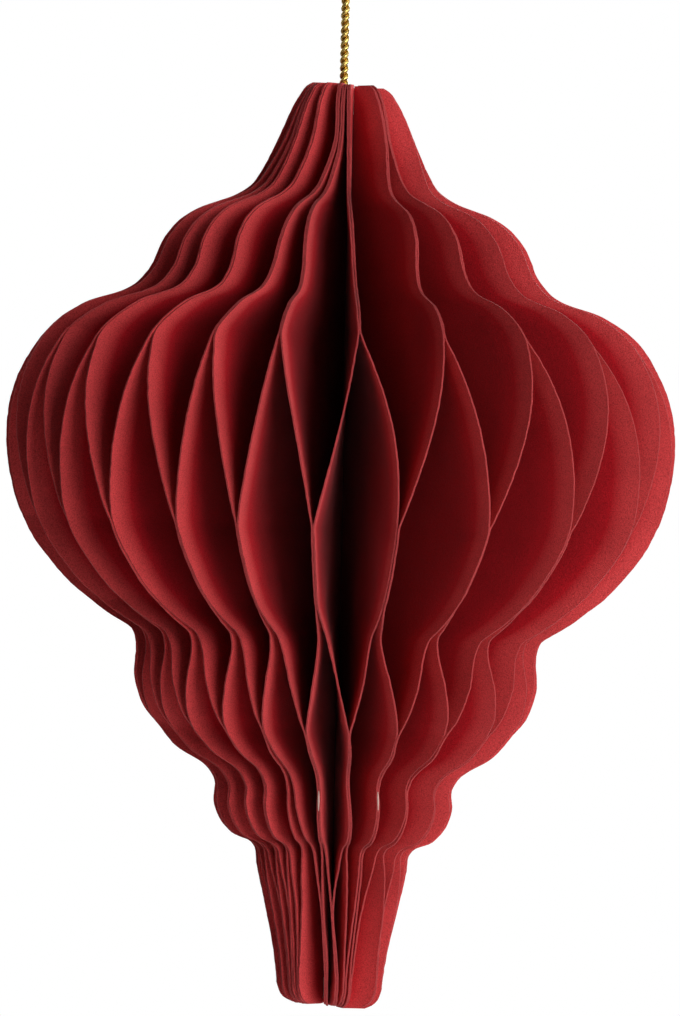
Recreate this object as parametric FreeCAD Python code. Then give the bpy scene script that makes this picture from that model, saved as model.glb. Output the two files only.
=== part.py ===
"""Honeycomb paper ornament with a gold hanging cord.

Forty-four half-profile leaves of red paper stand round a slim spine like the
pages of a book.  Each leaf is glued to its right neighbour from the top edge to the
shoulder and at the ring, and to its left neighbour at the belly and in the tail, so
the opened leaves bow apart and meet again as the cells of a honeycomb.  A twisted cord rises from the spine to a
knot and a small loop.

Millimetres, +Z up.  An azimuth is in degrees round the vertical axis, 0 towards
the front (-Y) and positive towards +X.  The origin is the hanging point, under
the crown of the loop.
"""
import FreeCAD, Part
import math
import os

# Paper leaves
leaf_height = 120.0
leaf_thickness = 0.22
glue_film = 0.05
root_clearance = 0.0156
front_pairs = 11
hidden_pairs = 11

# Outline of a leaf: radius from the axis, height above the lower edge
top_edge_radius = 4.7
top_corner = 1.6
tail_edge_radius = 4.8
tail_corner = 2.0
neck = (11.95, 107.0)
shoulder = (21.5, 101.9)
waist = (26.5, 94.0)
belly = (43.6, 73.5)
lower_notch = (26.25, 47.3)
upper_ring = (26.4, 44.0)
ring_notch = (15.6, 28.9)
lower_ring = (15.7, 27.0)
tail_notch = (10.0, 20.0)
outline_tolerance = 0.21

# Spine
spine_clearance = 0.08
spine_top_recess = 0.6
spine_foot_recess = 0.8

# Cord, knot and loop
cord_diameter = 1.18
cord_offset = -0.6
cord_rise = 14.2
knot_height = 3.4
knot_radius = 1.75
loop_leg_gap = 0.16

# Heights of the glue: where the leaves of a pair join, and where they part again
neck_glue = 112.0
shoulder_glue_top = 104.3
shoulder_glue_foot = 87.0
belly_glue_top = 62.5
belly_glue_foot = 52.0
ring_glue_top = 36.0
ring_glue_foot = 22.0
tail_glue_top = 13.5
tail_glue_foot = 3.5

# Glue rows from the top down: a height, the neighbour that each leaf is glued to, and
# the azimuths of the front pairs.  Rows of one side in turn keep their pairs together;
# where the side changes, the pairs part and each leaf crosses to its other neighbour.
# Two azimuths in brackets are a pair that stands open.
LEFT = "left"
RIGHT = "right"
belly_pairs = (-70.5, -58.2, -45.0, -30.3, -18.4, -4.6, 10.5, 27.7, 45.9, 66.0, 86.5)
tail_pairs = (-62.7, -48.9, -42.3, -35.7, -3.2, 8.3, 17.2, 23.8, 62.0, 80.0, 94.0)
glue_rows = [
    (leaf_height, RIGHT, (-64.5, -58.0, -51.5, -33.5, -12.5, -6.0, 0.5, 38.5, 45.0, 78.0, 88.0)),
    (neck_glue, RIGHT, (-65.5, -54.5, -48.5, -30.3, -9.8, -5.7, 1.3, 33.5, 38.0, 76.0, 87.0)),
    (shoulder_glue_top, RIGHT,
     (-76.0, -62.0, -51.3, -36.2, -19.3, -13.0, 1.6, 24.6, 38.8, 57.5, 75.5)),
    (waist[1], RIGHT, (-76.0, -60.0, -48.8, -34.8, -21.5, -11.7, 3.0, 21.0, 37.4, 56.8, 75.5)),
    (shoulder_glue_foot, RIGHT,
     (-79.0, -65.5, -52.2, -38.0, -24.6, -11.8, 3.1, 19.2, 36.8, 54.8, 74.5)),
    (belly_glue_top, LEFT, belly_pairs),
    (belly_glue_foot, LEFT, belly_pairs),
    (ring_glue_top, RIGHT, (-79.0, -65.0, -51.7, -37.3, -23.3, -9.2, 4.7, 20.4, 37.8, 58.0, 77.5)),
    (ring_notch[1], RIGHT,
     (-77.0, -61.0, -47.0, -34.6, (-22.1, -19.9), -6.9, 7.0, 21.7, 38.0, 58.0, 77.5)),
    (ring_glue_foot, RIGHT,
     (-75.0, -60.3, -46.0, -34.6, (-20.8, -15.8), -6.6, 9.6, 22.6, 38.4, 58.0, 77.5)),
    (tail_glue_top, LEFT, (-62.3, -48.5, -38.3, (-30.4, -25.9), -7.8, 1.0, (14.6, 20.2),
                           (24.3, 27.9), 52.0, 76.0, 90.0)),
    (tail_glue_foot, LEFT, tail_pairs),
    (0.0, LEFT, tail_pairs),
]

# Between two rows of unlike side the leaves bow to the right: how much on the whole,
# how much more on the left, and how late they leave the upper row
belly_cell_bow = (0.5, 0.0, 1.0)
ring_cell_bow = (0.5, 1.6, 1.35)
tail_cell_bow = (0.0, 0.0, 1.0)
front_blade = 12
front_blade_bow = 1.4

# Worked out
full_turn = 360.0
pair_count = front_pairs + hidden_pairs
leaf_count = 2 * pair_count
pair_step = full_turn / pair_count
leaf_pitch = leaf_thickness + glue_film
root_radius = leaf_count * (leaf_pitch + root_clearance) / (2.0 * math.pi)
spine_radius = root_radius - spine_clearance
cord_radius = cord_diameter / 2.0
cell_bows = {belly_glue_top: belly_cell_bow, ring_glue_top: ring_cell_bow, tail_glue_top: tail_cell_bow}
cell_heights = [0.5 * (shoulder_glue_foot + belly_glue_top), 0.5 * (lower_notch[1] + ring_glue_top)]


def pair_azimuths(front):
    """Azimuth of every pair of a row: the front ones as given, the rest evenly."""
    missing = pair_count - len(front)
    span = front[0] + full_turn - front[-1]
    azimuths = list(front)
    for k in range(missing):
        azimuths.append(front[-1] + span * (k + 1) / (missing + 1))
    return azimuths


row_azimuths = [pair_azimuths(row[2]) for row in glue_rows]
first_root = sum(turn - pair_step * k for k, turn in enumerate(pair_azimuths(belly_pairs))) / pair_count


def leaf_in_row(leaf, number):
    """Root azimuth, rim azimuth and side of a leaf at a glue row.

    The side counts half pitches from the glued plane, negative to the left.
    """
    if glue_rows[number][1] == LEFT:
        pair = leaf // 2
        root_place = pair
        side = 1 if leaf % 2 else -1
    else:
        pair = (leaf + 1) // 2
        root_place = pair - 0.5
        side = -1 if leaf % 2 else 1
    rim = row_azimuths[number][pair % pair_count]
    if isinstance(rim, tuple):
        rim = rim[0] if side < 0 else rim[1]
    return first_root + pair_step * root_place, rim + full_turn * (pair // pair_count), side


def leaf_at(leaf, height):
    """Root azimuth, rim azimuth and side of a leaf at a height."""
    number = 1
    while glue_rows[number][0] > height:
        number = number + 1
    upper, lower = glue_rows[number - 1], glue_rows[number]
    above = leaf_in_row(leaf, number - 1)
    below = leaf_in_row(leaf, number)
    share = (upper[0] - height) / (upper[0] - lower[0])
    if upper[1] == lower[1]:
        return tuple(a + (b - a) * share for a, b in zip(above, below))
    bow, swing, lag = cell_bows[lower[0]]
    root, rim, side = [a + (b - a) * share ** lag for a, b in zip(above, below)]
    bow = bow - swing * math.sin(math.radians(rim))
    if leaf == front_blade and lower[0] == belly_glue_top:
        bow = bow + front_blade_bow
    return root, rim + bow * math.sin(math.pi * share), side


def between(start, end, out, down):
    """Point at a share of the way out and a share of the way down between two."""
    return (start[0] + (end[0] - start[0]) * out, start[1] + (end[1] - start[1]) * down)


def thinned(points, tolerance):
    """The few of the points whose straight joins pass within a tolerance of the rest."""
    (r0, h0), (r1, h1) = points[0], points[-1]
    length = math.hypot(r1 - r0, h1 - h0)
    away = [abs((r1 - r0) * (h - h0) - (r - r0) * (h1 - h0)) / length for r, h in points]
    worst = away.index(max(away))
    if away[worst] <= tolerance:
        return [points[0], points[-1]]
    return thinned(points[:worst + 1], tolerance)[:-1] + thinned(points[worst:], tolerance)


def smooth(points):
    """Points along the smooth curve through the given ones."""
    curve = Part.BSplineCurve()
    curve.interpolate([FreeCAD.Vector(radius, 0, height) for radius, height in points])
    return thinned([(p.x, p.z) for p in curve.discretize(Number=1500)], outline_tolerance)


def leaf_outline():
    """Outer edge of a leaf from its top edge down to its lower edge."""
    top_start = (top_edge_radius, leaf_height)
    top_side = (top_edge_radius + top_corner, leaf_height - top_corner)
    top_middle = between(top_start, top_side, 0.5, 0.3)
    upper = smooth([
        top_side,
        between(top_side, neck, 0.23, 0.21),
        between(top_side, neck, 0.53, 0.56),
        between(top_side, neck, 0.80, 0.84),
        neck,
        between(neck, shoulder, 0.11, 0.20),
        between(neck, shoulder, 0.30, 0.39),
        between(neck, shoulder, 0.61, 0.59),
        between(neck, shoulder, 0.83, 0.78),
        shoulder,
        between(shoulder, waist, 0.34, 0.24),
        between(shoulder, waist, 0.57, 0.49),
        between(shoulder, waist, 0.74, 0.75),
        waist,
        between(waist, belly, 0.10, 0.05),
        between(waist, belly, 0.24, 0.10),
        between(waist, belly, 0.40, 0.146),
        between(waist, belly, 0.51, 0.195),
        between(waist, belly, 0.67, 0.29),
        between(waist, belly, 0.85, 0.49),
        between(waist, belly, 0.95, 0.68),
        belly,
        between(belly, lower_notch, 0.017, 0.134),
        between(belly, lower_notch, 0.07, 0.29),
        between(belly, lower_notch, 0.155, 0.44),
        between(belly, lower_notch, 0.305, 0.59),
        between(belly, lower_notch, 0.51, 0.744),
        between(belly, lower_notch, 0.65, 0.82),
        between(belly, lower_notch, 0.82, 0.897),
        between(belly, lower_notch, 0.93, 0.935),
        between(belly, lower_notch, 0.98, 0.963),
        lower_notch,
        upper_ring,
        between(upper_ring, ring_notch, 0.015, 0.13),
        between(upper_ring, ring_notch, 0.06, 0.265),
        between(upper_ring, ring_notch, 0.14, 0.40),
        between(upper_ring, ring_notch, 0.26, 0.53),
        between(upper_ring, ring_notch, 0.42, 0.66),
        between(upper_ring, ring_notch, 0.64, 0.795),
        between(upper_ring, ring_notch, 0.92, 0.927),
        ring_notch,
        lower_ring,
        between(lower_ring, tail_notch, 0.07, 0.285),
        between(lower_ring, tail_notch, 0.24, 0.57),
        between(lower_ring, tail_notch, 0.41, 0.714),
        between(lower_ring, tail_notch, 0.74, 0.857),
        between(lower_ring, tail_notch, 0.94, 0.93),
        tail_notch,
    ])
    tail_side = (tail_edge_radius + tail_corner, tail_corner)
    tail_end = (tail_edge_radius, 0.0)
    tail = [
        between(tail_notch, tail_side, 0.06, 0.11),
        between(tail_notch, tail_side, 0.84, 0.78),
        tail_side,
        between(tail_side, tail_end, 0.3, 0.7),
        tail_end,
    ]
    return with_stations([top_start, top_middle] + upper + tail, key_heights())


def key_heights():
    """Heights of the outline's hollows, of the glue rows and of the middle of the cells."""
    heights = [neck[1], lower_notch[1], tail_notch[1]] + cell_heights
    heights = heights + [row[0] for row in glue_rows]
    return sorted(set(heights), reverse=True)


def radius_at(edge, height):
    """Radius of the outer edge at a height."""
    for (upper_r, upper_h), (lower_r, lower_h) in zip(edge, edge[1:]):
        if upper_h >= height >= lower_h and upper_h > lower_h:
            share = (upper_h - height) / (upper_h - lower_h)
            return upper_r + (lower_r - upper_r) * share
    return edge[-1][0]


def with_stations(edge, heights, closest=0.9):
    """The outer edge with a point more at each height that has none near it."""
    edge = list(edge)
    for height in heights:
        if min(abs(height - point[1]) for point in edge) > closest:
            edge.append((radius_at(edge, height), height))
            edge.sort(key=lambda point: -point[1])
    return edge


def plan_point(radius, azimuth):
    """Point in plan at a radius and an azimuth."""
    turn = math.radians(azimuth)
    return FreeCAD.Vector(radius * math.sin(turn), -radius * math.cos(turn), 0)


def leaf_points(leaf, height, outer_radius, at_root):
    """Left and right point of the leaf's root or rim at a height."""
    root, rim, side = leaf_at(leaf, height)
    offset = side * leaf_pitch / 2.0
    root_turn = root + math.degrees(math.asin(offset / root_radius))
    rim_turn = rim + math.degrees(math.asin(offset / outer_radius))
    root_point = plan_point(root_radius, root_turn)
    rim_point = plan_point(outer_radius, rim_turn)
    along = (rim_point - root_point).normalize()
    across = FreeCAD.Vector(-along.y, along.x, 0) * (leaf_thickness / 2.0)
    place = root_point if at_root else rim_point
    place.z = height
    return place - across, place + across


def triangle(a, b, c):
    """Flat three-cornered face."""
    return Part.Face(Part.makePolygon([a, b, c, a]))


def paper_leaf(leaf, edge):
    """One leaf: a thin sheet between its straight root and its outer edge."""
    roots = key_heights()
    rim = [leaf_points(leaf, height, radius, False) for radius, height in edge]
    root = [leaf_points(leaf, height, radius_at(edge, height), True) for height in roots]
    faces = []
    i = 0
    j = 0
    while i < len(rim) - 1 or j < len(root) - 1:
        rim_next = edge[i + 1][1] if i < len(rim) - 1 else -1.0
        root_next = roots[j + 1] if j < len(root) - 1 else -1.0
        if rim_next >= root_next:
            for n in (0, 1):
                faces.append(triangle(root[j][n], rim[i][n], rim[i + 1][n]))
            i = i + 1
        else:
            for n in (0, 1):
                faces.append(triangle(root[j][n], rim[i][n], root[j + 1][n]))
            j = j + 1
    border = root + rim[::-1]
    for one, two in zip(border, border[1:] + border[:1]):
        faces.append(triangle(one[0], one[1], two[1]))
        faces.append(triangle(one[0], two[1], two[0]))
    shell = Part.makeShell(faces)
    shell.sewShape()
    return Part.makeSolid(shell)


def spine():
    """Slim rod that the roots of the leaves are bound to."""
    length = leaf_height - spine_top_recess - spine_foot_recess
    return Part.makeCylinder(spine_radius, length, FreeCAD.Vector(0, 0, spine_foot_recess))


def rounded_path(points):
    """Straight runs joined by tangent arcs, as one wire."""
    edges = []
    start = points[0]
    for before, corner, after in zip(points, points[1:], points[2:]):
        towards = (before - corner).normalize()
        away = (after - corner).normalize()
        shorter = min((before - corner).Length, (after - corner).Length)
        half_turn = (math.pi - towards.getAngle(away)) / 2.0
        reach = 0.45 * shorter
        radius = reach / math.tan(half_turn)
        print("loop arc radius %.2f mm" % radius)
        arc_start = corner + towards * reach
        arc_end = corner + away * reach
        inward = (towards + away).normalize()
        middle = corner + inward * (radius / math.cos(half_turn) - radius)
        edges.append(Part.LineSegment(start, arc_start).toShape())
        edges.append(Part.Arc(arc_start, middle, arc_end).toShape())
        start = arc_end
    edges.append(Part.LineSegment(start, points[-1]).toShape())
    return Part.Wire(edges)


def tube(path):
    """Round cord along a path."""
    first = path.Edges[0]
    direction = first.tangentAt(first.FirstParameter)
    circle = Part.Circle(first.valueAt(first.FirstParameter), direction, cord_radius)
    solid = path.makePipeShell([Part.Wire(circle.toShape())], True, True)
    measured = solid.Volume / (math.pi * cord_radius ** 2)
    print("tube: volume over section %.2f mm, path %.2f mm" % (measured, path.Length))
    return solid


def hanging_cord():
    """Straight stretch of cord from the spine up to the knot."""
    foot = leaf_height - spine_top_recess
    length = cord_rise + spine_top_recess
    return Part.makeCylinder(cord_radius, length, FreeCAD.Vector(cord_offset, 0, foot))


def loop_knot():
    """Overhand knot, drawn tight, with flat faces where the cord goes in and out."""
    foot = leaf_height + cord_rise
    ball = Part.makeSphere(knot_radius * 1.25, FreeCAD.Vector(cord_offset, 0, foot + knot_height / 2.0))
    core = Part.makeCylinder(knot_radius, knot_height, FreeCAD.Vector(cord_offset, 0, foot))
    return ball.common(core)


def cord_loop():
    """Loop above the knot, both legs starting from the knot's upper face."""
    foot = leaf_height + cord_rise + knot_height
    leg = (cord_diameter + loop_leg_gap) / 2.0
    route = [(cord_offset - leg, 0.0), (cord_offset - leg, 2.6), (-2.9, 6.4), (-5.2, 10.4),
             (-6.1, 15.2), (-4.2, 19.8), (0.1, 21.9), (4.3, 19.6), (5.9, 14.9), (4.3, 10.0),
             (1.6, 6.2), (cord_offset + leg, 2.6), (cord_offset + leg, 0.0)]
    points = [FreeCAD.Vector(x, 0, foot + z) for x, z in route]
    return tube(rounded_path(points))


def main():
    """Make every piece, bring the hanging point to the origin, write the files."""
    edge = leaf_outline()
    print("stations on the outer edge:", len(edge))
    pieces = {}
    for leaf in range(leaf_count):
        pieces["leaf_%02d" % (leaf + 1)] = paper_leaf(leaf, edge)
    pieces["spine_binding"] = spine()
    pieces["hanging_cord"] = hanging_cord()
    pieces["loop_knot"] = loop_knot()
    pieces["cord_loop"] = cord_loop()
    crown = pieces["cord_loop"].BoundBox.ZMax - cord_diameter
    os.makedirs("parts", exist_ok=True)
    for name, shape in pieces.items():
        shape.translate(FreeCAD.Vector(0, 0, -crown))
        shape.exportStep("parts/" + name + ".step")
    print("hanging point above the paper: %.3f mm" % (crown - leaf_height))


main()
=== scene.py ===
"""A honeycomb paper ornament on a gold cord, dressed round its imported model."""
import math

import bpy
import numpy as np
from mathutils import Matrix, Vector, noise


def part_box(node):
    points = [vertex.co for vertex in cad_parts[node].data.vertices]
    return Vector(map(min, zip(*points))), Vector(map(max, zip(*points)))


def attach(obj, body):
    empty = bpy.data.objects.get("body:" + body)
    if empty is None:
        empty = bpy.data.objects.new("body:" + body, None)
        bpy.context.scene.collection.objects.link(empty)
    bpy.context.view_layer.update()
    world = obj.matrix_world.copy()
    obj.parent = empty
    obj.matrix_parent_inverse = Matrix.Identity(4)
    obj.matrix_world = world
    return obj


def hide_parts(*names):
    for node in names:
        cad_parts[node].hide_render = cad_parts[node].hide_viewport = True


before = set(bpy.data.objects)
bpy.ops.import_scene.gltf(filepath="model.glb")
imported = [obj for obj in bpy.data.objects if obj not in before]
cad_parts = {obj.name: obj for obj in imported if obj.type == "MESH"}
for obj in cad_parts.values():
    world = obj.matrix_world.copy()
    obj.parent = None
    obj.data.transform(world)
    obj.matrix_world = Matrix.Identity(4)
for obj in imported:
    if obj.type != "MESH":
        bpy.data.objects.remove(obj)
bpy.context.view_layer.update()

bl_info = {
    "name": "Honeycomb Paper Ornament",
    "version": (1, 0, 0),
    "blender": (4, 5, 0),
    "location": "View3D > Sidebar > Ornament",
    "description": "Builds a hanging honeycomb paper ornament, its gold cord and its stage",
    "category": "Object",
}

MM = 0.001
LEAN_OF_COLUMNS = 1.35      # how much nearer a leaf's columns stand towards its rim
GROWTH = 0.006              # how far a leaf may be cut larger or smaller, as a share
FRAY = 0.08 * MM            # unevenness of a cut edge, outwards
RIPPLE = 0.06 * MM          # unevenness of a cut edge, to either side
BEAD_RADIUS = 0.13 * MM
LEAF_NODES = sorted(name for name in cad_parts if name.startswith("leaf_"))
PAPER_LOW, PAPER_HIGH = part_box(LEAF_NODES[0])
PAPER_MIDDLE = (PAPER_LOW.z + PAPER_HIGH.z) / 2
SPINE_LOW, SPINE_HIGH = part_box("spine_binding")
SPINE_RADIUS = (SPINE_HIGH.x - SPINE_LOW.x) / 2
CORD_LOW, CORD_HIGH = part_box("hanging_cord")
CORD_DIAMETER = CORD_HIGH.y - CORD_LOW.y
CORD_X = (CORD_HIGH.x + CORD_LOW.x) / 2
KNOT_LOW, KNOT_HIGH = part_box("loop_knot")

# The lamps: name, azimuth from the front, height in degrees, size in metres, watts
LAMPS = [
    ("front_right_lamp", 30.0, 8.0, 0.5, 5.0),
    ("right_lamp", 58.0, 8.0, 0.5, 2.4),
    ("side_lamp", 82.0, 8.0, 0.5, 1.4),
    ("front_left_lamp", -22.0, 45.0, 0.5, 0.15),
    ("upper_left_lamp", -62.0, 58.0, 0.5, 0.42),
    ("upper_right_lamp", 60.0, 50.0, 0.5, 0.7),
    ("back_right_lamp", 160.0, 15.0, 0.5, 6.0),
    ("back_left_lamp", -165.0, 20.0, 0.5, 3.5),
]
LAMP_DISTANCE = 0.95

# The loop's route above the knot, in millimetres: across, up
LOOP_ROUTE = [
    (-1.27, 0.0), (-1.27, 2.6), (-2.9, 6.4), (-5.2, 10.4), (-6.1, 15.2), (-4.2, 19.8),
    (0.1, 21.9), (4.3, 19.6), (5.9, 14.9), (4.3, 10.0), (1.6, 6.2), (0.07, 2.6), (0.07, 0.0),
]


# Reading a leaf's stations from its solid

def leaf_stations(node):
    """Middle points of a leaf's root and of its rim from the top down, and its thickness."""
    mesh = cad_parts[node].data
    corners = np.empty(len(mesh.vertices) * 3)
    mesh.vertices.foreach_get("co", corners)
    corners = np.unique(np.round(corners.reshape(-1, 3), 7), axis=0)
    radius = np.hypot(corners[:, 0], corners[:, 1])
    at_root = radius < SPINE_RADIUS + 0.4 * MM
    lines = []
    for chosen in (corners[at_root], corners[~at_root]):
        order = np.argsort(-chosen[:, 2], kind="stable")
        pairs = chosen[order].reshape(-1, 2, 3)
        lines.append(pairs.mean(axis=1))
        thickness = np.linalg.norm(pairs[:, 0] - pairs[:, 1], axis=1).mean()
    return lines[0], lines[1], thickness


def tangent(points, k):
    """Direction of a line at one of its points, the nearer neighbour weighing more."""
    back, ahead = points[k] - points[k - 1], points[k + 1] - points[k]
    way = back / np.dot(back, back) + ahead / np.dot(ahead, ahead)
    return way / np.linalg.norm(way)


def smooth_line(points, step, reach, corner=math.radians(35.0)):
    """A finer line through the points, its sharp corners rounded off within a reach."""
    outline = np.column_stack((np.hypot(points[:, 0], points[:, 1]), points[:, 2]))
    runs = np.diff(outline, axis=0)
    bearing = np.arctan2(runs[:, 1], runs[:, 0])
    turn = np.abs((np.diff(bearing) + math.pi) % (2 * math.pi) - math.pi)
    sharp = {0, len(points) - 1}
    sharp.update(int(k) + 1 for k in np.nonzero(turn > corner)[0])
    line, corners = [points[0]], []
    for k in range(len(points) - 1):
        start, end = points[k], points[k + 1]
        length = np.linalg.norm(end - start)
        leaving = end - start if k in sharp else tangent(points, k) * length
        arriving = end - start if k + 1 in sharp else tangent(points, k + 1) * length
        count = max(2, math.ceil(length / step))
        for s in np.linspace(0, 1, count + 1)[1:]:
            line.append((2 * s ** 3 - 3 * s ** 2 + 1) * start
                        + (s ** 3 - 2 * s ** 2 + s) * leaving
                        + (3 * s ** 2 - 2 * s ** 3) * end
                        + (s ** 3 - s ** 2) * arriving)
        if k + 1 in sharp and k + 2 < len(points):
            shorter = min(length, np.linalg.norm(points[k + 2] - end))
            corners.append((len(line) - 1, min(reach, 0.48 * shorter)))
    return rounded(np.array(line), corners)


def rounded(line, corners):
    """The line with each of its corners rounded off within the corner's reach."""
    runs = np.linalg.norm(np.diff(line, axis=0), axis=1)
    at = np.concatenate(([0], np.cumsum(runs)))
    result = line.copy()
    for corner, reach in corners:
        low, high = at[corner] - reach, at[corner] + reach
        start, end = [np.array([np.interp(s, at, line[:, axis]) for axis in range(3)])
                      for s in (low, high)]
        for k in np.nonzero((at > low) & (at < high))[0]:
            u = (at[k] - low) / (2 * reach)
            result[k] = (1 - u) ** 2 * start + 2 * u * (1 - u) * line[corner] + u ** 2 * end
    return result


# Meshes

def mesh_object(name, points, faces, materials, face_slots=None, sharp=None):
    """A shown object of a mesh, smooth-shaded except along edges sharper than an angle."""
    mesh = bpy.data.meshes.new(name)
    mesh.from_pydata(points, [], faces)
    mesh.polygons.foreach_set("use_smooth", [True] * len(mesh.polygons))
    for material in materials:
        mesh.materials.append(material)
    if face_slots is not None:
        mesh.polygons.foreach_set("material_index", face_slots)
    mesh.update()
    if sharp:
        mesh.set_sharp_from_angle(angle=math.radians(sharp))
    obj = bpy.data.objects.new(name, mesh)
    bpy.context.scene.collection.objects.link(obj)
    return obj


def dressed(obj, slot, *nodes):
    """Lets a piece ride on the ornament and stand for its solids; its slot is not used."""
    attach(obj, "root")
    if nodes:
        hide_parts(*nodes)
    return obj


def grid_faces(rows, columns, first, flip):
    """Four-cornered faces of a grid whose points are numbered row by row."""
    faces = []
    for i in range(rows - 1):
        for j in range(columns - 1):
            a = first + i * columns + j
            face = (a, a + columns, a + columns + 1, a + 1)
            faces.append(face[::-1] if flip else face)
    return faces


def sway(place, amount):
    """Slow unevenness of the card, the same for leaves that lie side by side."""
    return amount * noise.noise(place * 95.0) + 0.35 * amount * noise.noise(place * 260.0)


def leaf_mesh(node, settings, materials):
    """One leaf of card, ruled between its root and its rim, with a cut edge all round."""
    number = LEAF_NODES.index(node)
    root_line, rim_line, thickness = leaf_stations(node)
    rim = smooth_line(rim_line, settings.rim_step * MM, settings.corner_reach * MM)
    heights = -rim[:, 2]
    root = np.column_stack([np.interp(heights, -root_line[:, 2], root_line[:, axis])
                            for axis in (0, 1)] + [rim[:, 2]])
    along = rim - root
    across = np.column_stack((-along[:, 1], along[:, 0], np.zeros(len(rim))))
    across /= np.linalg.norm(across, axis=1)[:, None]
    loose = Vector((number * 3.7, number * 1.3, 5.0))
    facing = rim[len(rim) // 2]
    to_the_right = facing[0] / np.hypot(*facing[:2])
    slip = settings.slip * MM * noise.noise(loose) - settings.slant * MM * to_the_right
    grow = 1.0 + GROWTH * noise.noise(loose * 1.9)
    shares = 1.0 - (1.0 - np.linspace(0, 1, settings.columns)) ** LEAN_OF_COLUMNS
    rows, columns = len(rim), settings.columns
    sides = [[], []]
    depths = []
    for i in range(rows):
        fray = FRAY * noise.noise(Vector((number * 9.1, rim[i][2] * 1400.0, 2.0)))
        for share in shares:
            place = root[i] + along[i] * share * (grow if share else 1.0)
            place = place + along[i] / np.linalg.norm(along[i]) * fray * share ** 6
            lean = sway(Vector(place), settings.sway * MM) * math.sin(math.pi * share) ** 0.7
            lean += RIPPLE * noise.noise(Vector(place) * 1500.0) * share ** 8
            place = place + across[i] * lean
            place[2] += slip
            depths.append(np.linalg.norm(along[i]) * (1 - share) / MM)
            sides[0].append(place - across[i] * thickness / 2)
            sides[1].append(place + across[i] * thickness / 2)
    points = sides[0] + sides[1]
    count = rows * columns
    faces = grid_faces(rows, columns, 0, False) + grid_faces(rows, columns, count, True)
    face_slots = [0] * len(faces)
    border = list(range(columns - 1))
    border += [i * columns + columns - 1 for i in range(rows)]
    border += [(rows - 1) * columns + j for j in range(columns - 2, -1, -1)]
    border += [i * columns for i in range(rows - 2, 0, -1)]
    for a, b in zip(border, border[1:] + border[:1]):
        faces.append((a, b, b + count, a + count))
        face_slots.append(1)
    leaf = mesh_object(node + "_card", points, faces, materials, face_slots, 40)
    # The depth from the rim, in mm, steers the painted light and shade of the card.
    depth = leaf.data.attributes.new("depth", "FLOAT", "POINT")
    depth.data.foreach_set("value", depths + depths)
    return leaf


def glue_bead(name, node, height, length, material):
    """A thin bead of dried glue at the rim between a leaf and its right neighbour."""
    neighbour = LEAF_NODES[(LEAF_NODES.index(node) + 1) % len(LEAF_NODES)]
    rims = [leaf_stations(leaf)[1] for leaf in (node, neighbour)]
    path = []
    for share in np.linspace(0, 1, 9):
        z = PAPER_LOW.z + height - length * (share - 0.5)
        sides = [[np.interp(-z, -rim[:, 2], rim[:, axis]) for axis in (0, 1)] for rim in rims]
        path.append((*np.mean(sides, axis=0), z))
    radii = BEAD_RADIUS * np.sin(np.linspace(0.15, math.pi - 0.15, 9)) ** 0.5
    points, faces = tube_mesh(path, radii, 8)
    return dressed(mesh_object(name, points, faces, [material]), "pale_binding")


def tube_mesh(path, radius, sides):
    """Points and faces of a closed tube along a path; radius may differ at each point."""
    path = np.array(path)
    radii = np.broadcast_to(radius, len(path))
    ways = np.gradient(path, axis=0)
    ways /= np.linalg.norm(ways, axis=1)[:, None]
    side = np.cross(ways[0], (0.0, 1.0, 0.02))
    points, faces = [], []
    for place, way, r in zip(path, ways, radii):
        side = side - way * np.dot(side, way)
        side = side / np.linalg.norm(side)
        other = np.cross(way, side)
        for k in range(sides):
            turn = 2 * math.pi * k / sides
            points.append(place + r * (math.cos(turn) * side + math.sin(turn) * other))
    for i in range(len(path) - 1):
        for k in range(sides):
            a, b = i * sides + k, i * sides + (k + 1) % sides
            faces.append((a, b, b + sides, a + sides))
    faces.append(tuple(range(sides))[::-1])
    last = (len(path) - 1) * sides
    faces.append(tuple(range(last, last + sides)))
    return points, faces


def spline_points(name, route):
    """Points of the smooth line that a route of points controls."""
    curve = bpy.data.curves.new(name, "CURVE")
    curve.dimensions = "3D"
    curve.resolution_u = 24
    spline = curve.splines.new("NURBS")
    spline.points.add(len(route) - 1)
    for point, place in zip(spline.points, route):
        point.co = (*place, 1.0)
    spline.order_u = 3
    spline.use_endpoint_u = True
    line = bpy.data.objects.new(name, curve)
    bpy.context.scene.collection.objects.link(line)
    mesh = bpy.data.meshes.new_from_object(line)
    points = np.array([v.co for v in mesh.vertices])
    bpy.data.objects.remove(line)
    bpy.data.curves.remove(curve)
    bpy.data.meshes.remove(mesh)
    return points


def evenly(path, step):
    """The same line with points a step apart."""
    runs = np.linalg.norm(np.diff(path, axis=0), axis=1)
    lengths = np.concatenate(([0], np.cumsum(runs)))
    count = int(lengths[-1] / step) + 1
    at = np.linspace(0, lengths[-1], count)
    return np.column_stack([np.interp(at, lengths, path[:, k]) for k in range(3)]), at


def plies(path, ply_radius, wind_radius, lay, count, step, sides):
    """Points and faces of plies wound round a path."""
    line, at = evenly(path, step)
    ways = np.gradient(line, axis=0)
    ways /= np.linalg.norm(ways, axis=1)[:, None]
    side = np.cross(ways[0], (0.0, 1.0, 0.02))
    sides_of, others_of = [], []
    for way in ways:
        side = side - way * np.dot(side, way)
        side = side / np.linalg.norm(side)
        sides_of.append(side)
        others_of.append(np.cross(way, side))
    points, faces = [], []
    for ply in range(count):
        turn = 2 * math.pi * (at / lay + ply / count)
        wound = (line + wind_radius * (np.cos(turn)[:, None] * np.array(sides_of)
                                       + np.sin(turn)[:, None] * np.array(others_of)))
        more_points, more_faces = tube_mesh(wound, ply_radius, sides)
        first = len(points)
        points += more_points
        faces += [tuple(first + k for k in face) for face in more_faces]
    return points, faces


# Materials

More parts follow.
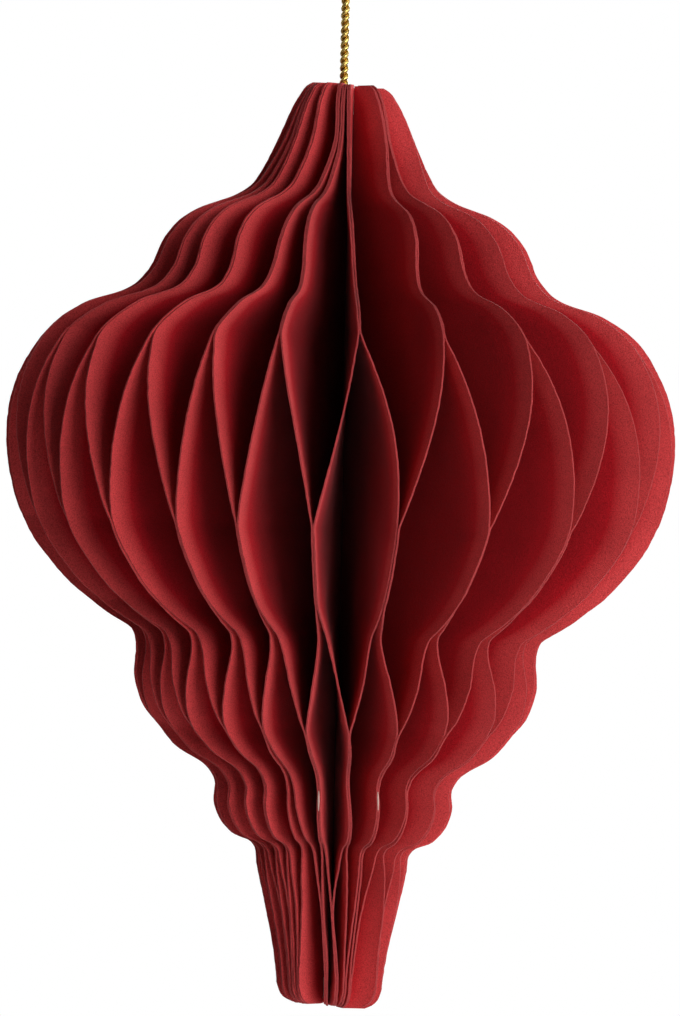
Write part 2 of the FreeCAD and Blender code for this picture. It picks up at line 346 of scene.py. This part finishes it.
def new_material(name):
    """A material with its node tree, its shader and a way to add nodes to it."""
    material = bpy.data.materials.new(name)
    material.use_nodes = True
    nodes = material.node_tree.nodes
    shader = nodes["Principled BSDF"]

    def add(kind, **values):
        node = nodes.new(kind)
        for key, value in values.items():
            if key in node.inputs:
                node.inputs[key].default_value = value
            else:
                setattr(node, key, value)
        return node
    return material, shader, add, material.node_tree.links.new


def noise_node(add, link, coordinates, scale, detail=2.0, rough=0.5):
    """Noise in the object's own space; scale is how many features there are in a metre."""
    node = add("ShaderNodeTexNoise", Scale=scale, Detail=detail, Roughness=rough)
    link(coordinates, node.inputs["Vector"])
    return node.outputs["Fac"]


def ramp(add, link, source, stops):
    """Colours along a value."""
    node = add("ShaderNodeValToRGB")
    while len(node.color_ramp.elements) < len(stops):
        node.color_ramp.elements.new(0.5)
    for element, (place, colour) in zip(node.color_ramp.elements, stops):
        element.position = place
        element.color = (*colour, 1.0)
    link(source, node.inputs["Fac"])
    return node.outputs["Color"]


def shade(colour, factor):
    """A colour made lighter or darker."""
    return tuple(min(1.0, c * factor) for c in colour[:3])


def mix(add, link, share, one, two, blend="MIX"):
    """Two colours mixed; the share and each colour may be a value or a socket."""
    node = add("ShaderNodeMix", data_type="RGBA", blend_type=blend)
    for socket, value in ((node.inputs[0], share), (node.inputs[6], one), (node.inputs[7], two)):
        if isinstance(value, bpy.types.NodeSocket):
            link(value, socket)
        else:
            socket.default_value = value
    return node.outputs[2]


def card_material(name, colour, rim_light_colour, grain, roughness):
    """Uncoated dyed card: felt-like grain and slow mottling, with painted light at the rim and
    painted shade deeper in.
    """
    material, shader, add, link = new_material(name)
    place = add("ShaderNodeTexCoord").outputs["Object"]
    fine = noise_node(add, link, place, grain, 3.0, 0.65)
    felt = noise_node(add, link, place, grain * 0.35, 2.0, 0.55)
    mottle = noise_node(add, link, place, 140.0, 2.0, 0.5)
    # Painted light and shade: by depth from the rim, the card is lighter and pinker at the rim,
    # where light falls, and darker deep between the leaves, where shade falls.
    depth = add("ShaderNodeAttribute", attribute_name="depth").outputs["Fac"]
    reach = add("ShaderNodeMapRange", interpolation_type="SMOOTHERSTEP")
    reach.inputs["From Max"].default_value = 9.0
    link(depth, reach.inputs["Value"])
    base = ramp(add, link, reach.outputs["Result"],
                [(0.0, rim_light_colour), (0.35, colour), (1.0, shade(colour, 0.72))])
    cloud = ramp(add, link, mottle, [(0.30, (0.88, 0.86, 0.86)), (0.70, (1.0, 1.0, 1.0))])
    base = mix(add, link, 1.0, base, cloud, "MULTIPLY")
    speck = ramp(add, link, fine, [(0.30, (0.48, 0.44, 0.44)), (0.50, (0.84, 0.84, 0.84)),
                                   (0.68, (1.0, 1.0, 1.0))])
    base = mix(add, link, 1.0, base, speck, "MULTIPLY")
    link(base, shader.inputs["Base Color"])
    height = add("ShaderNodeMath", operation="ADD")
    link(fine, height.inputs[0])
    link(felt, height.inputs[1])
    bump = add("ShaderNodeBump", Strength=0.6, Distance=0.07 * MM)
    link(height.outputs[0], bump.inputs["Height"])
    link(bump.outputs["Normal"], shader.inputs["Normal"])
    shader.inputs["Roughness"].default_value = roughness
    shader.inputs["Specular IOR Level"].default_value = 0.12
    shader.inputs["Sheen Weight"].default_value = 0.08
    shader.inputs["Sheen Roughness"].default_value = 0.5
    shader.inputs["Sheen Tint"].default_value = (1.0, 0.6, 0.6, 1.0)
    return material


def gold_material(name, colour, dark):
    """Metallic yarn: foil strip wound round a core, bright on its ridges."""
    material, shader, add, link = new_material(name)
    place = add("ShaderNodeTexCoord").outputs["Object"]
    strip = noise_node(add, link, place, 5200.0, 2.0, 0.6)
    patch = noise_node(add, link, place, 900.0, 2.0, 0.5)
    base = ramp(add, link, patch, [(0.25, shade(colour, 0.72)), (0.75, shade(colour, 1.12))])
    thread = ramp(add, link, strip, [(0.34, (0.0, 0.0, 0.0)), (0.48, (1.0, 1.0, 1.0))])
    base = mix(add, link, thread, (*dark, 1.0), base)
    link(base, shader.inputs["Base Color"])
    bump = add("ShaderNodeBump", Strength=0.5, Distance=0.04 * MM)
    link(strip, bump.inputs["Height"])
    link(bump.outputs["Normal"], shader.inputs["Normal"])
    shader.inputs["Metallic"].default_value = 1.0
    shader.inputs["Roughness"].default_value = 0.28
    return material


def pale_material(name, colour, scale):
    """Dried glue and binding thread, slightly uneven."""
    material, shader, add, link = new_material(name)
    place = add("ShaderNodeTexCoord").outputs["Object"]
    fibre = noise_node(add, link, place, scale, 3.0, 0.6)
    base = ramp(add, link, fibre, [(0.3, shade(colour, 0.80)), (0.7, shade(colour, 1.06))])
    link(base, shader.inputs["Base Color"])
    bump = add("ShaderNodeBump", Strength=0.5, Distance=0.05 * MM)
    link(fibre, bump.inputs["Height"])
    link(bump.outputs["Normal"], shader.inputs["Normal"])
    shader.inputs["Roughness"].default_value = 0.6
    return material


def backdrop_material(name, colour):
    """Plain matte stage surface, faintly uneven and shown pale."""
    material, shader, add, link = new_material(name)
    place = add("ShaderNodeTexCoord").outputs["Object"]
    cloud = noise_node(add, link, place, 1.5, 2.0, 0.5)
    base = ramp(add, link, cloud, [(0.3, shade(colour, 0.98)), (0.7, shade(colour, 1.0))])
    link(base, shader.inputs["Base Color"])
    link(base, shader.inputs["Emission Color"])
    seen = add("ShaderNodeLightPath").outputs["Is Camera Ray"]
    glow = add("ShaderNodeMath", operation="MULTIPLY")
    glow.inputs[1].default_value = 0.45
    link(seen, glow.inputs[0])
    link(glow.outputs[0], shader.inputs["Emission Strength"])
    shader.inputs["Roughness"].default_value = 0.9
    return material


# Settings

class PaperSettings(bpy.types.PropertyGroup):
    """Sizes and colours of the paper leaves."""

    face: bpy.props.FloatVectorProperty(
        name="Card colour", description="Colour of the faces of the card", subtype="COLOR",
        size=3, min=0.0, max=1.0, default=(0.60, 0.010, 0.020))
    # Painted light: a lighter, pinker colour laid on the card at its rim, where light falls.
    rim_light_colour: bpy.props.FloatVectorProperty(
        name="Painted rim light colour", description="Colour of the card near its rim", subtype="COLOR",
        size=3, min=0.0, max=1.0, default=(0.80, 0.072, 0.076))
    edge: bpy.props.FloatVectorProperty(
        name="Cut edge colour", description="Paler colour of the card where it is cut",
        subtype="COLOR", size=3, min=0.0, max=1.0, default=(0.50, 0.058, 0.060))
    grain: bpy.props.FloatProperty(
        name="Grain", description="Grains of the card in a metre", default=6400.0)
    roughness: bpy.props.FloatProperty(
        name="Roughness", description="How dull the card is", default=0.78, min=0.0, max=1.0)
    rim_step: bpy.props.FloatProperty(
        name="Rim step", description="Distance between points along a leaf's rim, in mm",
        default=0.65)
    corner_reach: bpy.props.FloatProperty(
        name="Corner reach", description="How far a corner's rounding reaches, in mm",
        default=1.1)
    columns: bpy.props.IntProperty(
        name="Columns", description="Points between a leaf's root and its rim", default=12)
    sway: bpy.props.FloatProperty(
        name="Sway", description="Slow unevenness of the card, in mm", default=0.35)
    slip: bpy.props.FloatProperty(
        name="Slip", description="How far a leaf may sit up or down from its place, in mm",
        default=0.35)
    slant: bpy.props.FloatProperty(
        name="Slant", description="How much lower the leaves sit on the right, in mm",
        default=0.3)


class CordSettings(bpy.types.PropertyGroup):
    """Sizes and colours of the cord."""

    lay: bpy.props.FloatProperty(
        name="Lay", description="Length of one full turn of the twist",
        subtype="DISTANCE", unit="LENGTH", default=1.96 * MM)
    gold: bpy.props.FloatVectorProperty(
        name="Gold", description="Colour of the metallic yarn", subtype="COLOR",
        size=3, min=0.0, max=1.0, default=(0.80, 0.56, 0.16))
    dark: bpy.props.FloatVectorProperty(
        name="Core", description="Colour of the yarn's dark core", subtype="COLOR",
        size=3, min=0.0, max=1.0, default=(0.10, 0.05, 0.01))


class BindingSettings(bpy.types.PropertyGroup):
    """Colours of the spine's binding."""

    pale: bpy.props.FloatVectorProperty(
        name="Binding", description="Colour of thread and dried glue", subtype="COLOR",
        size=3, min=0.0, max=1.0, default=(0.62, 0.42, 0.36))
    # Painted shade: the binding thread is kept dark, darker than the card, so the spine reads black
    # in the shade deep in the middle.
    thread: bpy.props.FloatVectorProperty(
        name="Thread", description="Colour of the binding thread", subtype="COLOR",
        size=3, min=0.0, max=1.0, default=(0.20, 0.012, 0.018))
    bare: bpy.props.FloatProperty(
        name="Glue", description="Share of the spine under dried glue at each end, in percent",
        default=2.5, min=0.0, max=50.0)
    bead_height: bpy.props.FloatProperty(
        name="Bead height", description="Height of the glue beads above the paper's foot, in mm",
        default=27.0)
    bead_length: bpy.props.FloatProperty(
        name="Bead length", description="Length of the beads of dried glue, in mm", default=2.6)


class StageSettings(bpy.types.PropertyGroup):
    """Camera, light and floor."""

    distance: bpy.props.FloatProperty(
        name="Camera distance", description="From the camera to the ornament's axis",
        subtype="DISTANCE", unit="LENGTH", default=1.2)
    view_height: bpy.props.FloatProperty(
        name="View height", description="Height of the view at the ornament's axis",
        subtype="DISTANCE", unit="LENGTH", default=0.1328)
    aim_up: bpy.props.FloatProperty(
        name="Aim up", description="Middle of the view above the middle of the paper",
        subtype="DISTANCE", unit="LENGTH", default=4.84 * MM)
    aim_right: bpy.props.FloatProperty(
        name="Aim right", description="Middle of the view to the right of the axis",
        subtype="DISTANCE", unit="LENGTH", default=0.09 * MM)
    lean: bpy.props.FloatProperty(
        name="Lean", description="How far the picture leans clockwise", subtype="ANGLE",
        unit="ROTATION", default=math.radians(1.25))
    floor_drop: bpy.props.FloatProperty(
        name="Floor drop", description="From the lowest paper down to the floor",
        subtype="DISTANCE", unit="LENGTH", default=0.30)
    floor: bpy.props.FloatVectorProperty(
        name="Floor", description="Colour of the floor", subtype="COLOR",
        size=3, min=0.0, max=1.0, default=(0.86, 0.86, 0.86))


# Operators

class ORNAMENT_OT_leaves(bpy.types.Operator):
    """Make the paper leaves, each of them a sheet of card of its own"""

    bl_idname = "ornament.leaves"
    bl_label = "Paper Leaves"

    def execute(self, context):
        settings = context.scene.ornament_paper
        face = card_material("red_card_face", settings.face, settings.rim_light_colour, settings.grain,
                             settings.roughness)
        # The cut edge gets the same painted shade deeper in, but no painted light at its rim.
        edge = card_material("red_card_cut_edge", settings.edge, settings.edge, settings.grain, 0.85)
        for node in LEAF_NODES:
            dressed(leaf_mesh(node, settings, [face, edge]), "red_paper", node)
        return {"FINISHED"}


class ORNAMENT_OT_spine(bpy.types.Operator):
    """Make the slim spine, wound with binding thread"""

    bl_idname = "ornament.spine"
    bl_label = "Spine Binding"

    def execute(self, context):
        settings = context.scene.ornament_binding
        pale = pale_material("dried_glue", settings.pale, 2600.0)
        # The thread's dark colour is painted shade for the middle of the spine.
        thread = pale_material("binding_thread", settings.thread, 2600.0)
        ring, turns = 28, 260
        points, faces = [], []
        for i in range(turns + 1):
            height = SPINE_LOW.z + (SPINE_HIGH.z - SPINE_LOW.z) * i / turns
            for k in range(ring):
                turn = 2 * math.pi * k / ring
                ridge = 0.05 * MM * math.cos(turn + math.pi * i * 0.5)
                r = SPINE_RADIUS - 0.06 * MM + ridge
                points.append((r * math.cos(turn), r * math.sin(turn), height))
        for i in range(turns):
            for k in range(ring):
                a, b = i * ring + k, i * ring + (k + 1) % ring
                faces.append((a, b, b + ring, a + ring))
        faces.append(tuple(range(ring))[::-1])
        faces.append(tuple(range(turns * ring, turns * ring + ring)))
        bare = turns * ring * settings.bare / 100
        slots = [int(bare < k < turns * ring - bare) for k in range(len(faces))]
        dressed(mesh_object("spine_thread", points, faces, [pale, thread], slots, 50),
                "pale_binding", "spine_binding")
        for name, node in (("glue_bead_left", "leaf_10"), ("glue_bead_right", "leaf_14")):
            glue_bead(name, node, settings.bead_height * MM, settings.bead_length * MM, pale)
        return {"FINISHED"}


def cord_route():
    """The cord's route: up from the spine, through the knot, round the loop and back."""
    route = [
        (CORD_X, 0.0, CORD_LOW.z),
        (CORD_X, 0.0, CORD_HIGH.z - 6 * CORD_DIAMETER),
        (CORD_X, 0.0, CORD_HIGH.z),
    ]
    return route + [(x * MM, 0.0, KNOT_HIGH.z + z * MM) for x, z in LOOP_ROUTE]


class ORNAMENT_OT_cord(bpy.types.Operator):
    """Make the twisted gold cord, its loop and its knot"""

    bl_idname = "ornament.cord"
    bl_label = "Cord, Loop and Knot"

    def execute(self, context):
        settings = context.scene.ornament_cord
        gold = gold_material("gold_yarn", settings.gold, settings.dark)
        path = spline_points("cord_route", cord_route())
        ply = CORD_DIAMETER / 4
        points, faces = plies(path, ply * 1.03, ply, settings.lay, 2, settings.lay / 22, 10)
        cord = mesh_object("gold_cord_twist", points, faces, [gold])
        dressed(cord, "gold_cord", "hanging_cord", "cord_loop")
        knot = self.knot(settings, gold)
        return {"FINISHED"}

    def knot(self, settings, gold):
        """The overhand knot, drawn tight."""
        middle = (KNOT_LOW + KNOT_HIGH) / 2
        width = (KNOT_HIGH.x - KNOT_LOW.x) / 2
        t = np.linspace(0, 2 * math.pi, 160)
        bight = width - CORD_DIAMETER * 0.55
        path = np.column_stack((
            middle.x + bight * 0.42 * (np.sin(t) + 1.35 * np.sin(2 * t)),
            middle.y + bight * 0.42 * (np.cos(t) - 1.35 * np.cos(2 * t)),
            middle.z - bight * 0.75 * np.sin(3 * t)))
        ply = CORD_DIAMETER * 0.23
        points, faces = plies(path, ply * 1.05, ply, settings.lay, 2, settings.lay / 20, 9)
        knot = mesh_object("gold_knot", points, faces, [gold])
        return dressed(knot, "gold_cord", "loop_knot")


class ORNAMENT_OT_stage(bpy.types.Operator):
    """Make the floor, the light and the camera"""

    bl_idname = "ornament.stage"
    bl_label = "Stage"

    def execute(self, context):
        settings = context.scene.ornament_stage
        self.camera(context, settings)
        self.floor(settings)
        self.light(context)
        return {"FINISHED"}

    def camera(self, context, settings):
        """The camera, level with the middle of the photograph, and leaning a little."""
        data = bpy.data.cameras.new("photo_camera")
        data.sensor_width = 36.0
        data.lens = data.sensor_width * settings.distance / settings.view_height
        data.clip_start, data.clip_end = 0.05, 50.0
        camera = bpy.data.objects.new("photo_camera", data)
        context.scene.collection.objects.link(camera)
        place = Vector((settings.aim_right, -settings.distance, PAPER_MIDDLE + settings.aim_up))
        upright = Matrix.Rotation(math.radians(90), 4, "X")
        leaning = Matrix.Rotation(settings.lean, 4, "Z")
        camera.matrix_world = Matrix.Translation(place) @ upright @ leaning
        context.scene.camera = camera

    def floor(self, settings):
        """A wide round floor below the ornament."""
        height = PAPER_LOW.z - settings.floor_drop
        ring = 96
        turns = [2 * math.pi * k / ring for k in range(ring)]
        points = [(3.0 * math.cos(turn), 3.0 * math.sin(turn), height) for turn in turns]
        material = backdrop_material("pale_floor", settings.floor)
        mesh_object("floor", points, [tuple(range(ring))], [material])

    def light(self, context):
        """A pale room and soft lamps, most of them in front on the right."""
        world = bpy.data.worlds.new("pale_room")
        context.scene.world = world
        world.use_nodes = True
        nodes, link = world.node_tree.nodes, world.node_tree.links.new
        nodes["Background"].inputs["Color"].default_value = (1.0, 1.0, 1.0, 1.0)
        nodes["Background"].inputs["Strength"].default_value = 0.015
        seen = nodes.new("ShaderNodeLightPath")
        before = nodes["Background"]
        for name, strength in (("Is Glossy Ray", 0.22), ("Is Camera Ray", 1.0)):
            bright = nodes.new("ShaderNodeBackground")
            bright.inputs["Color"].default_value = (1.0, 1.0, 1.0, 1.0)
            bright.inputs["Strength"].default_value = strength
            blend = nodes.new("ShaderNodeMixShader")
            link(seen.outputs[name], blend.inputs["Fac"])
            link(before.outputs[0], blend.inputs[1])
            link(bright.outputs[0], blend.inputs[2])
            before = blend
        link(before.outputs[0], nodes["World Output"].inputs["Surface"])
        context.scene.view_settings.view_transform = "Standard"
        for lamp in LAMPS:
            self.lamp(context, *lamp)

    def lamp(self, context, name, azimuth, height, size, power):
        """A square soft lamp that points at the ornament's middle."""
        data = bpy.data.lights.new(name, "AREA")
        data.size = size
        data.energy = power
        lamp = bpy.data.objects.new(name, data)
        context.scene.collection.objects.link(lamp)
        turn, rise = math.radians(azimuth), math.radians(height)
        out = math.cos(rise)
        way = Vector((math.sin(turn) * out, -math.cos(turn) * out, math.sin(rise)))
        lamp.location = Vector((0.0, 0.0, PAPER_MIDDLE)) + way * LAMP_DISTANCE
        lamp.rotation_mode = "QUATERNION"
        lamp.rotation_quaternion = way.to_track_quat("Z", "Y")


# Panel and registration

class ORNAMENT_PT_sidebar(bpy.types.Panel):
    """The ornament's buttons"""

    bl_idname = "ORNAMENT_PT_sidebar"
    bl_label = "Honeycomb Ornament"
    bl_space_type = "VIEW_3D"
    bl_region_type = "UI"
    bl_category = "Ornament"

    def draw(self, context):
        for operator in OPERATORS:
            self.layout.operator(operator.bl_idname)


SETTINGS = {
    "ornament_paper": PaperSettings,
    "ornament_cord": CordSettings,
    "ornament_binding": BindingSettings,
    "ornament_stage": StageSettings,
}
OPERATORS = [ORNAMENT_OT_stage, ORNAMENT_OT_cord, ORNAMENT_OT_spine, ORNAMENT_OT_leaves]


def register():
    """Makes the settings, the buttons and the panel known to Blender."""
    for name, group in SETTINGS.items():
        bpy.utils.register_class(group)
        setattr(bpy.types.Scene, name, bpy.props.PointerProperty(type=group))
    for operator in OPERATORS:
        bpy.utils.register_class(operator)
    bpy.utils.register_class(ORNAMENT_PT_sidebar)


def unregister():
    """Takes back what register made known."""
    bpy.utils.unregister_class(ORNAMENT_PT_sidebar)
    for operator in reversed(OPERATORS):
        bpy.utils.unregister_class(operator)
    for name, group in SETTINGS.items():
        delattr(bpy.types.Scene, name)
        bpy.utils.unregister_class(group)


def main():
    """Builds everything."""
    register()
    bpy.ops.ornament.stage()
    bpy.ops.ornament.cord()
    bpy.ops.ornament.spine()
    bpy.ops.ornament.leaves()


if __name__ == "__main__":
    main()
